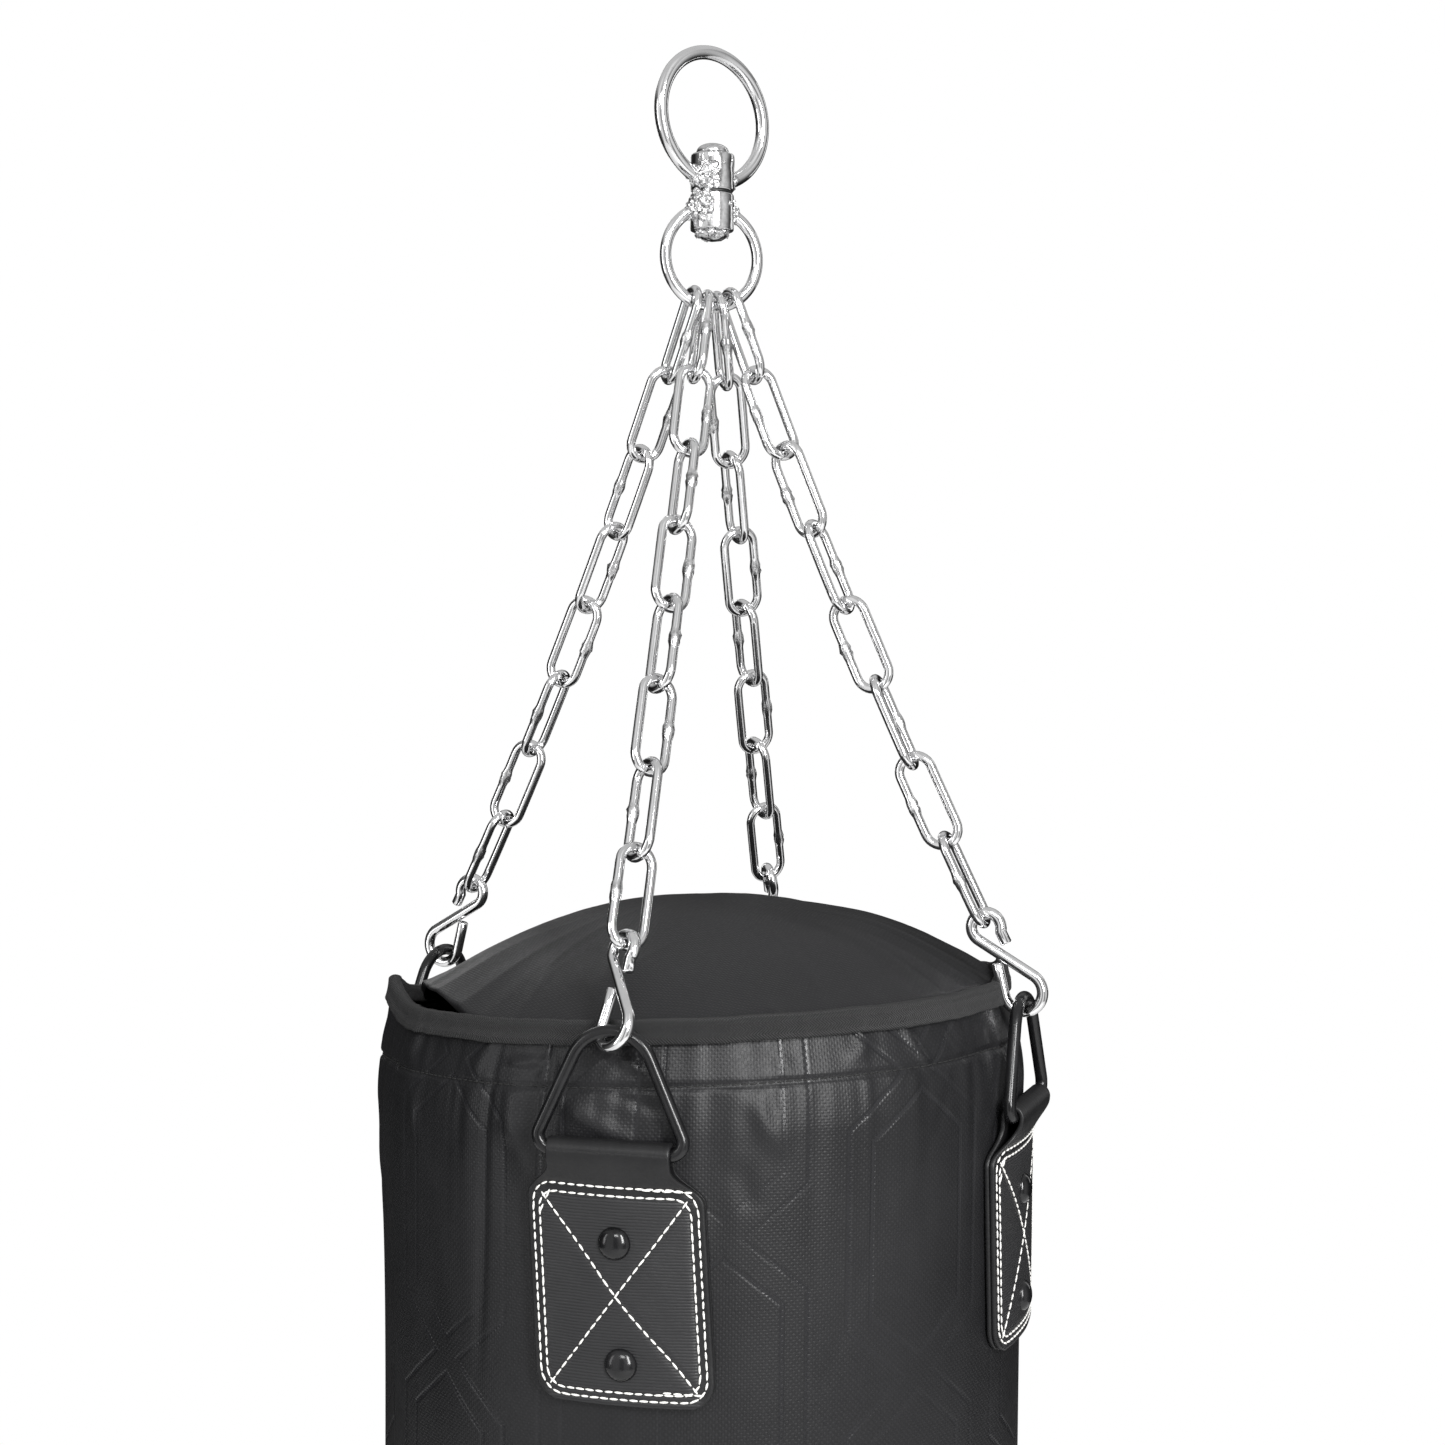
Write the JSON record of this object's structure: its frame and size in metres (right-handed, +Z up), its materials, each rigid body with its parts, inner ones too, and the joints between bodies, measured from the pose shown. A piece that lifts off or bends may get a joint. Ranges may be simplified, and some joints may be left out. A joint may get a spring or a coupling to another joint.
{
  "type": "heavy punching bag",
  "caption": "Hanging heavy punching bag: a packed cylindrical fabric bag on four link chains with S-hooks, triangle rings and riveted tabs, under a welded-ring swivel.",
  "frame": {"origin": "the hanging point: the lowest place inside the top of the top ring, where a ceiling hook bears", "axes": "+Z up; the four hanging tabs face -Y (front), +X (right), +Y (back) and -X (left)"},
  "size_m": [0.3781, 0.3795, 1.7039],
  "materials": {
    "steel": "bright zinc plate on welded steel, slightly uneven",
    "chain_steel": "bright zinc plate on welded wire",
    "black_metal": "satin black coat on bent wire",
    "rivet_metal": "satin black domed heads",
    "strap": "ribbed black coated strap with white stitching",
    "shell_fabric": "satin coated fabric with a fine weave",
    "lid_fabric": "finely woven coated fabric, lightly wrinkled",
    "tape": "matte woven binding tape",
    "filling": "packed textile scraps, unseen"
  },
  "bodies": {
    "hanger": {"top_ring": "steel", "swivel_upper_barrel": "steel", "swivel_pin": "steel", "swivel_washer": "steel"},
    "swivel": {"swivel_lower_barrel": "steel", "lower_ring": "steel"},
    "bag": {"chain_front_link_1": "chain_steel", "chain_front_link_2": "chain_steel", "chain_front_link_3": "chain_steel", "chain_front_link_4": "chain_steel", "chain_front_link_5": "chain_steel", "chain_front_link_6": "chain_steel", "chain_front_link_7": "chain_steel", "chain_front_link_8": "chain_steel", "chain_right_link_1": "chain_steel", "chain_right_link_2": "chain_steel", "chain_right_link_3": "chain_steel", "chain_right_link_4": "chain_steel", "chain_right_link_5": "chain_steel", "chain_right_link_6": "chain_steel", "chain_right_link_7": "chain_steel", "chain_right_link_8": "chain_steel", "chain_back_link_1": "chain_steel", "chain_back_link_2": "chain_steel", "chain_back_link_3": "chain_steel", "chain_back_link_4": "chain_steel", "chain_back_link_5": "chain_steel", "chain_back_link_6": "chain_steel", "chain_back_link_7": "chain_steel", "chain_back_link_8": "chain_steel", "chain_left_link_1": "chain_steel", "chain_left_link_2": "chain_steel", "chain_left_link_3": "chain_steel", "chain_left_link_4": "chain_steel", "chain_left_link_5": "chain_steel", "chain_left_link_6": "chain_steel", "chain_left_link_7": "chain_steel", "chain_left_link_8": "chain_steel", "s_hook_front": "chain_steel", "s_hook_right": "chain_steel", "s_hook_back": "chain_steel", "s_hook_left": "chain_steel", "triangle_ring_front": "black_metal", "triangle_ring_right": "black_metal", "triangle_ring_back": "black_metal", "triangle_ring_left": "black_metal", "tab_front": "strap", "tab_right": "strap", "tab_back": "strap", "tab_left": "strap", "tab_rivets_front": "rivet_metal", "tab_rivets_right": "rivet_metal", "tab_rivets_back": "rivet_metal", "tab_rivets_left": "rivet_metal", "bag_shell": "shell_fabric", "rim_tape": "tape", "lid": "lid_fabric", "filling": "filling", "bottom_panel": "shell_fabric"}
  },
  "joints": [
    {"name": "swivel_spin", "type": "hinge", "parent": "hanger", "child": "swivel", "pos_m": [0, 0, -0.0726], "axis": [0, 0, 1], "continuous": true},
    {"name": "bag_swing", "type": "hinge", "parent": "swivel", "child": "bag", "pos_m": [0, 0, -0.1337], "axis": [0.809, 0.5878, 0], "range_deg": [-30, 30]}
  ]
}
